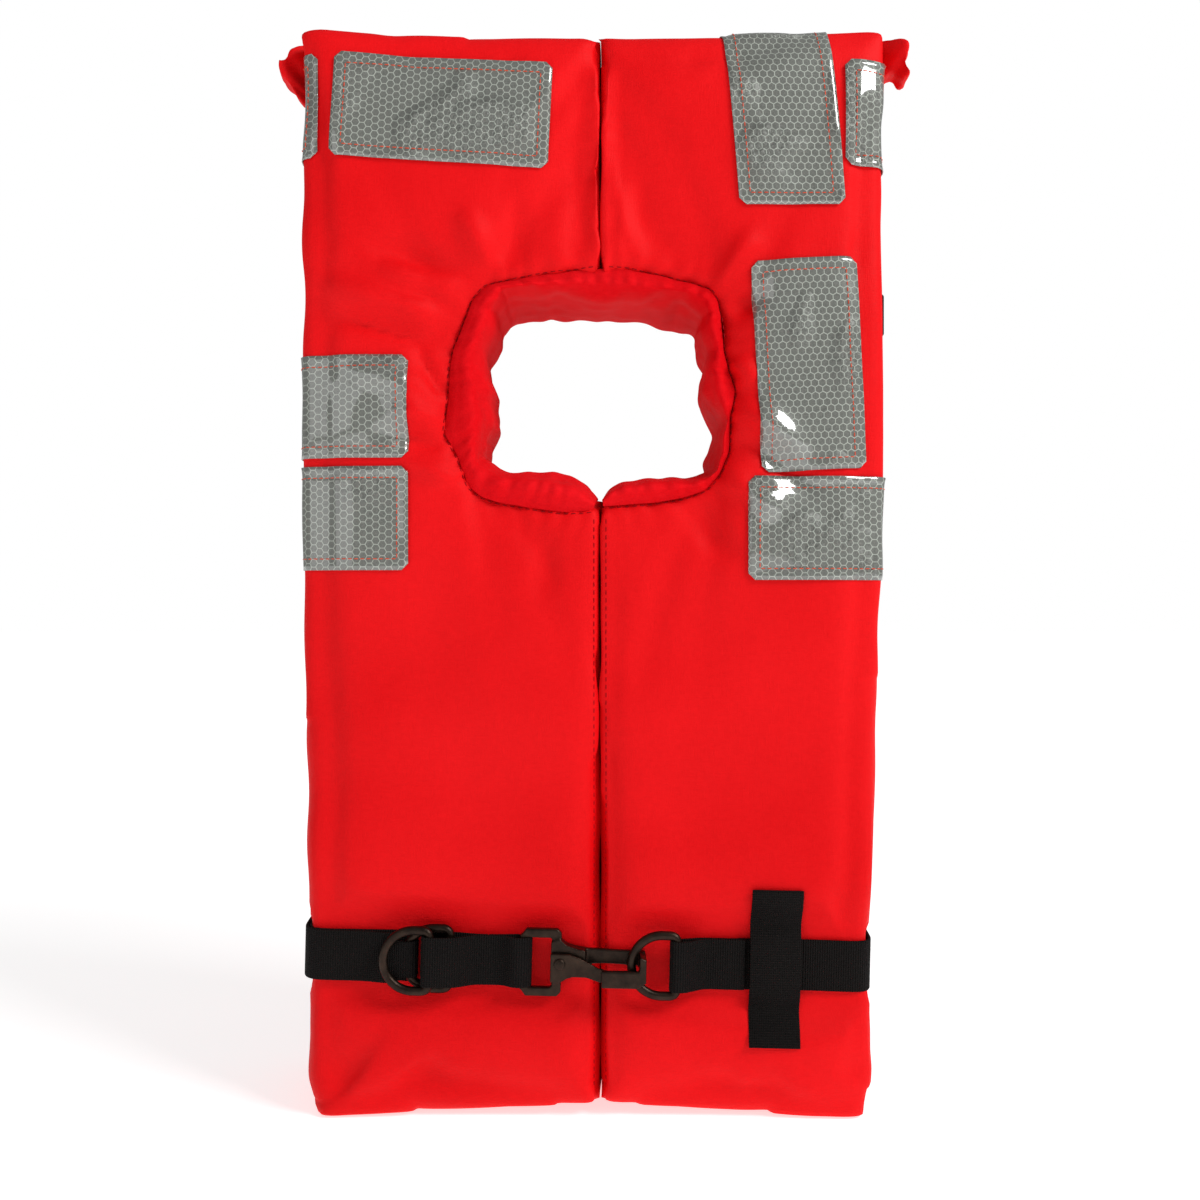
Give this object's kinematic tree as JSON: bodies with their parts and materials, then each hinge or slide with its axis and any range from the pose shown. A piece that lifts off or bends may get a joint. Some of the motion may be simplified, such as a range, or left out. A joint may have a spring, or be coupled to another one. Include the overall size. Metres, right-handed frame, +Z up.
{
  "type": "life jacket",
  "caption": "Keyhole foam life jacket: flat block with a neck opening, split chest panels, a belt with snap hook and rings, and reflective patches.",
  "frame": {"origin": "on the floor plane under the middle of the jacket's bounding box", "axes": "+Z up from the hem to the collar, -Y out of the front, +X towards the panel with the belt keeper"},
  "size_m": [0.302, 0.0962, 0.5268],
  "materials": {
    "cover_cloth": "orange-red woven nylon, slightly glossy",
    "foam": "matt closed-cell foam",
    "reflective_tape": "glossy silver-grey retroreflective film with a hexagon cell pattern",
    "webbing": "black ribbed flat webbing",
    "hardware": "dark bronze-brown coated metal, satin"
  },
  "bodies": {
    "chest": {"chest_left_front_cover": "cover_cloth", "chest_left_rear_cover": "cover_cloth", "chest_right_front_cover": "cover_cloth", "chest_right_rear_cover": "cover_cloth", "neck_lining_left": "cover_cloth", "neck_lining_right": "cover_cloth", "chest_left_front_foam": "foam", "chest_left_rear_foam": "foam", "chest_right_front_foam": "foam", "chest_right_rear_foam": "foam", "tape_chest_right": "reflective_tape", "tape_chest_left_upper": "reflective_tape", "tape_chest_left_lower": "reflective_tape", "tape_rear_chest_left": "reflective_tape", "tape_rear_chest_right": "reflective_tape", "body_belt": "webbing", "hook_strap": "webbing", "belt_keeper": "webbing", "adjuster_ring_front": "hardware", "adjuster_ring_rear": "hardware", "snap_hook": "hardware", "gate_rivet": "hardware", "gate_spring": "hardware"},
    "collar": {"collar_left_front_cover": "cover_cloth", "collar_right_front_cover": "cover_cloth", "collar_rear_cover": "cover_cloth", "collar_front_foam": "foam", "collar_rear_foam": "foam", "neck_lining_top": "cover_cloth", "corner_tuck_left": "cover_cloth", "corner_tuck_right": "cover_cloth", "tape_collar_left": "reflective_tape", "tape_collar_top": "reflective_tape", "tape_collar_side_right": "reflective_tape", "tape_collar_side_left": "reflective_tape", "tape_shoulder_right": "reflective_tape", "tape_rear_collar_left": "reflective_tape", "tape_rear_collar_right": "reflective_tape", "light_loop": "webbing"},
    "gate": {"hook_gate": "hardware"},
    "ring": {"closing_ring": "hardware"}
  },
  "joints": [
    {"name": "shoulder_flex", "type": "hinge", "parent": "chest", "child": "collar", "pos_m": [0, 0.005, 0.35], "axis": [-1, 0, 0], "range_deg": [0, 50], "stiffness_Nm_per_rad": 4, "springref_deg": -2.86},
    {"name": "gate_pivot", "type": "hinge", "parent": "chest", "child": "gate", "pos_m": [-0.01529, -0.0452, 0.07737], "axis": [0, -1, 0], "range_deg": [0, 18], "stiffness_Nm_per_rad": 0.02, "springref_deg": -17.19},
    {"name": "ring_swing", "type": "hinge", "parent": "chest", "child": "ring", "pos_m": [0.04079, -0.0428, 0.07562], "axis": [0.024, 0, 0.9997], "range_deg": [-3, 3]}
  ]
}
